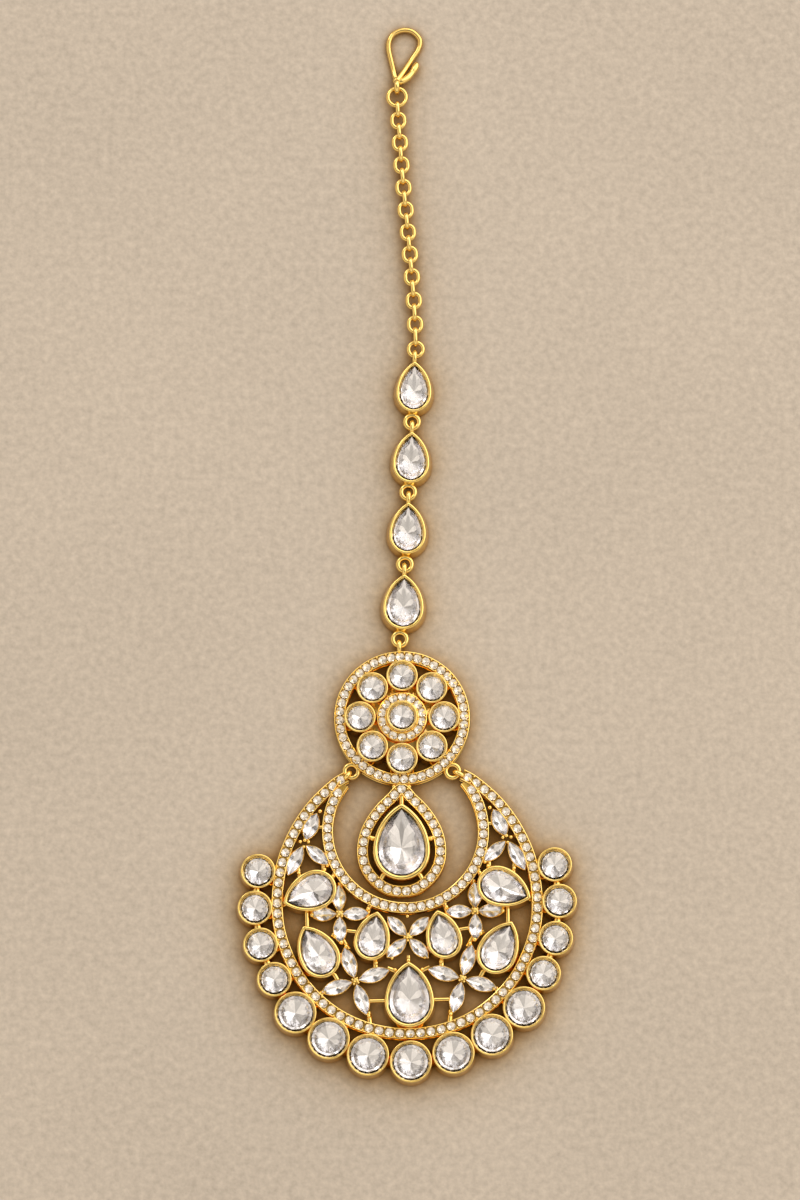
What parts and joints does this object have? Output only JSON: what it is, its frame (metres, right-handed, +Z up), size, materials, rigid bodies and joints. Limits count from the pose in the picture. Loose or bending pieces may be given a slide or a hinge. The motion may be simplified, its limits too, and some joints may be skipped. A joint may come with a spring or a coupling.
{
  "type": "maang tikka",
  "caption": "Gold-tone forehead jewel: hair hook and chain, linked pear stones, a round rosette with a pear drop, and a pierced crescent set with clear stones.",
  "frame": {"origin": "middle of the outline, on the surface that it lies on", "axes": "+Y towards the hair hook, +Z up out of its face"},
  "size_m": [0.049, 0.157, 0.0036],
  "materials": {
    "gold": "polished gold plate",
    "stone": "clear faceted, foiled back"
  },
  "bodies": {
    "root": {"hair_hook": "gold", "chain": "gold", "pear_link_1": "gold", "pear_link_2": "gold", "pear_link_3": "gold", "pear_link_4": "gold", "link_stone_1": "stone", "link_stone_2": "stone", "link_stone_3": "stone", "link_stone_4": "stone", "medallion_setting": "gold", "medallion_stone_1": "stone", "medallion_stone_2": "stone", "medallion_stone_3": "stone", "medallion_stone_4": "stone", "medallion_stone_5": "stone", "medallion_stone_6": "stone", "medallion_stone_7": "stone", "medallion_stone_8": "stone", "medallion_stone_9": "stone", "drop_stone": "stone", "crescent_setting": "gold", "crescent_stone_1": "stone", "crescent_stone_2": "stone", "crescent_stone_3": "stone", "crescent_stone_4": "stone", "crescent_stone_5": "stone", "crescent_stone_6": "stone", "crescent_stone_7": "stone", "border_stone_1": "stone", "border_stone_2": "stone", "border_stone_3": "stone", "border_stone_4": "stone", "border_stone_5": "stone", "border_stone_6": "stone", "border_stone_7": "stone", "border_stone_8": "stone", "border_stone_9": "stone", "border_stone_10": "stone", "border_stone_11": "stone", "border_stone_12": "stone", "border_stone_13": "stone", "border_stone_14": "stone", "border_stone_15": "stone"}
  },
  "joints": []
}
